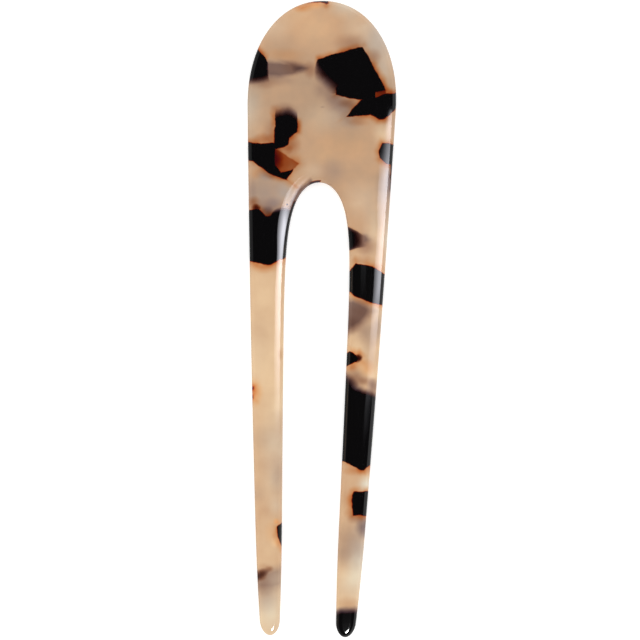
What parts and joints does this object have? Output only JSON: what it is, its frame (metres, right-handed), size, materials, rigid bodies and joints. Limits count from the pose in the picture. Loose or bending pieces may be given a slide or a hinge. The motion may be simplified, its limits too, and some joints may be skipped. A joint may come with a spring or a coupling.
{
  "type": "hairpin",
  "caption": "Flat U-shaped hairpin with a solid rounded head, long slightly tapering legs and fully rounded edges, cut from one sheet of polished tortoiseshell acetate.",
  "frame": {"origin": "centre of the pin's outline, on the flat back face that it lies on", "axes": "+X across the two legs, +Y along the legs towards the solid head, +Z out of the front face"},
  "size_m": [0.0316, 0.135, 0.004],
  "materials": {
    "acetate": "blond tortoiseshell cellulose acetate, tumbled and polished"
  },
  "bodies": {
    "root": {"pin": "acetate"}
  },
  "joints": []
}
